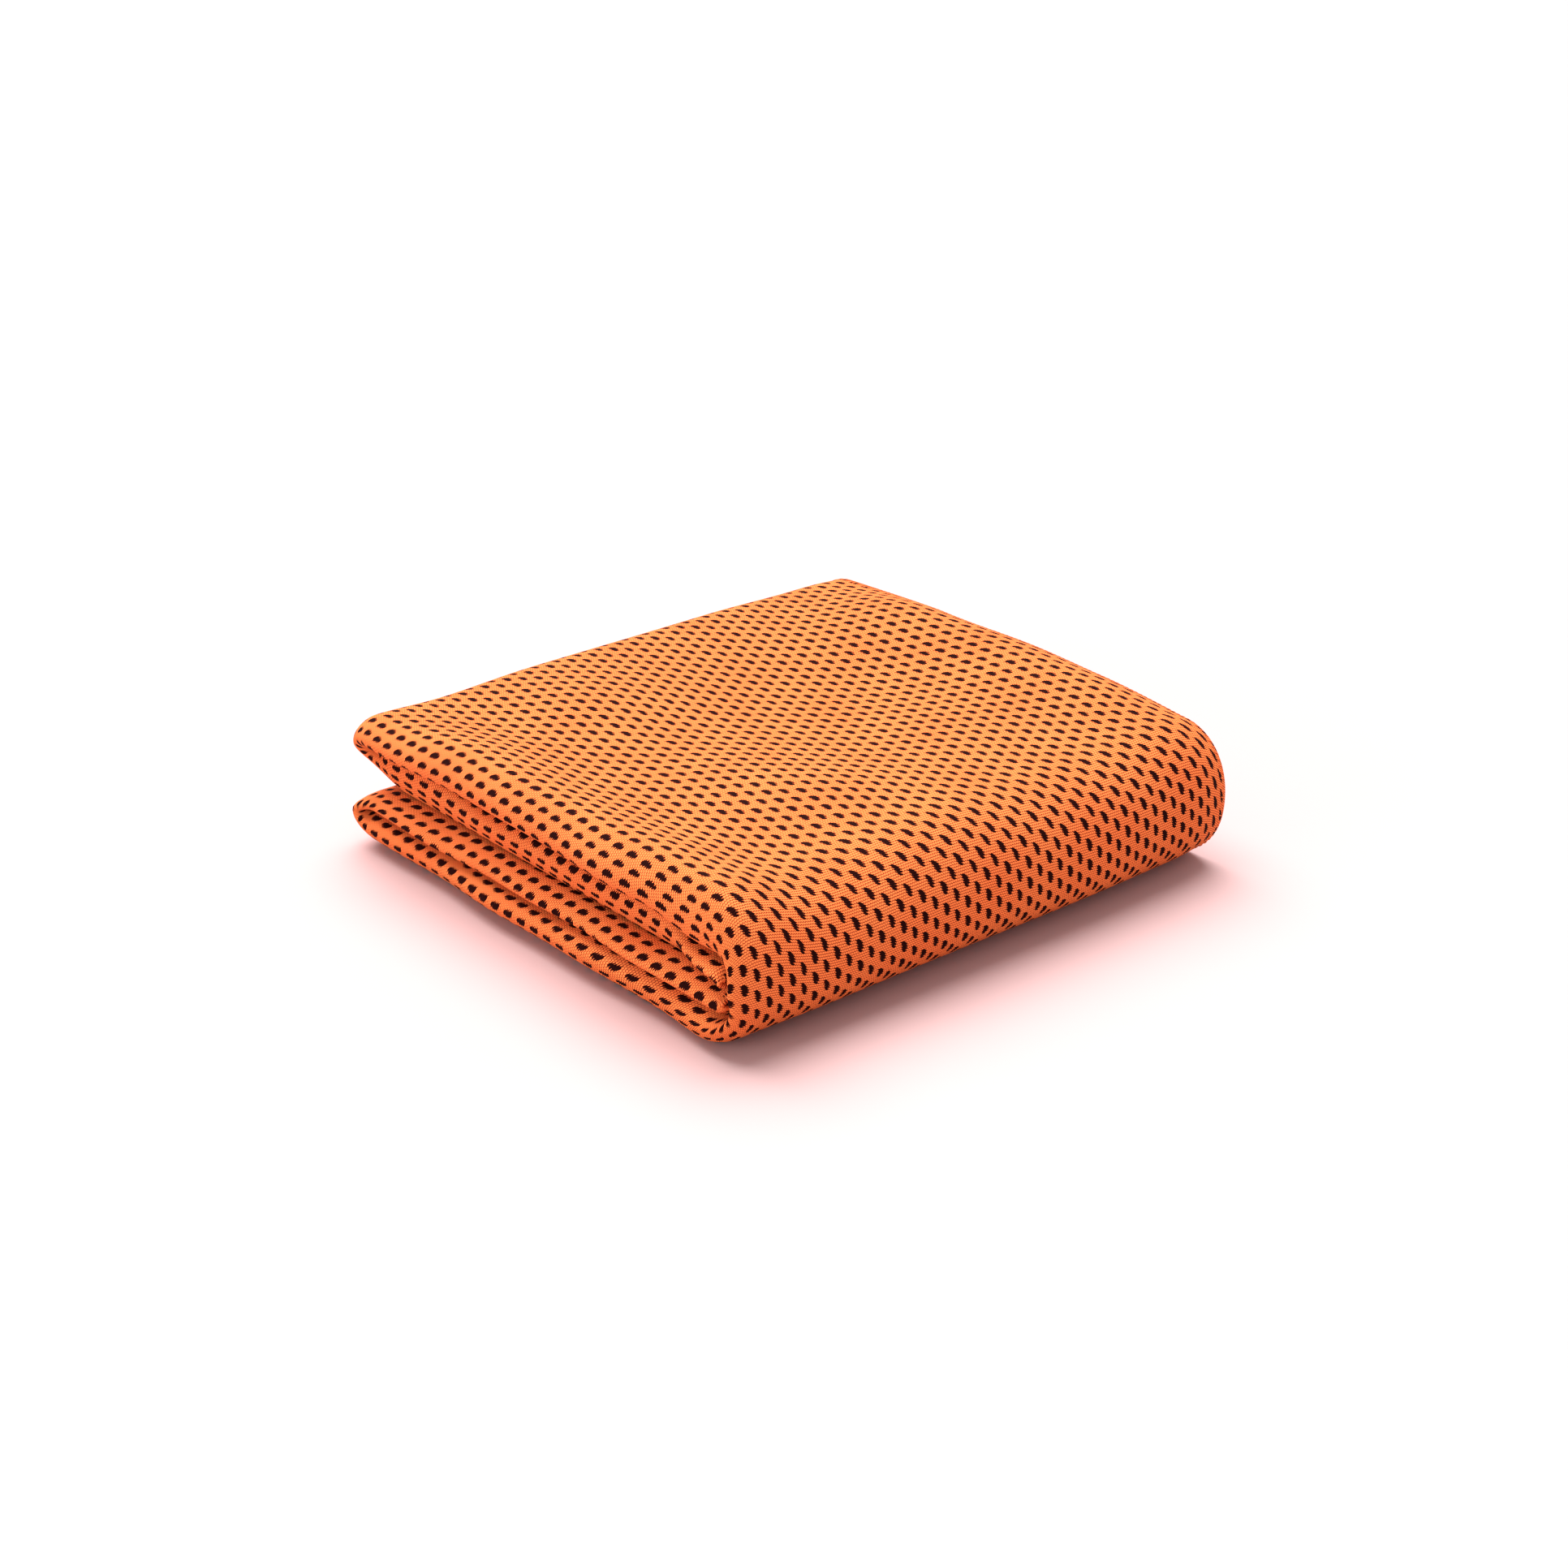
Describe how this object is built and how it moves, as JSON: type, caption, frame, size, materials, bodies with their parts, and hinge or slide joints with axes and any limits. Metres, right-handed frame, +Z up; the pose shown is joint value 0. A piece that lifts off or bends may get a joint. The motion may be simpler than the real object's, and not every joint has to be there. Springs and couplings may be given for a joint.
{
  "type": "folded quick dry towel",
  "caption": "Knitted two-tone towel folded to a pocket-size square stack, with rounded folds on three sides, that opens like a book at its wrapped end.",
  "frame": {"origin": "under the middle of the folded stack, in the plane it rests on", "axes": "+X across the strip, from the lengthwise folds to the open long edges; +Y along the strip, from the big wrap to the two small loops; +Z up"},
  "size_m": [0.15, 0.147, 0.0385],
  "materials": {
    "knit_cloth": "soft two-colour jacquard knit, orange with near-black dots, matte",
    "edge_thread": "matte overlocked thread"
  },
  "bodies": {
    "lower_half": {"layer_3_outer_ply": "knit_cloth", "layer_3_inner_ply": "knit_cloth", "layer_3_side_fold": "knit_cloth", "layer_4_outer_ply": "knit_cloth", "layer_4_inner_ply": "knit_cloth", "layer_4_side_fold": "knit_cloth", "loop_lower_outer": "knit_cloth", "loop_lower_inner": "knit_cloth", "wrap_lower_outer": "knit_cloth", "wrap_lower_inner": "knit_cloth", "edge_thread_lower_outer": "edge_thread", "edge_thread_lower_inner": "edge_thread", "end_thread_layer_3": "edge_thread"},
    "upper_half": {"layer_1_outer_ply": "knit_cloth", "layer_1_inner_ply": "knit_cloth", "layer_1_side_fold": "knit_cloth", "layer_2_outer_ply": "knit_cloth", "layer_2_inner_ply": "knit_cloth", "layer_2_side_fold": "knit_cloth", "loop_upper_outer": "knit_cloth", "loop_upper_inner": "knit_cloth", "wrap_upper_outer": "knit_cloth", "wrap_upper_inner": "knit_cloth", "edge_thread_upper_outer": "edge_thread", "edge_thread_upper_inner": "edge_thread", "end_thread_layer_2": "edge_thread"}
  },
  "joints": [
    {"name": "book_fold", "type": "hinge", "parent": "lower_half", "child": "upper_half", "pos_m": [0, -0.07365, 0.0165], "axis": [1, 0, 0], "range_deg": [0, 160]}
  ]
}
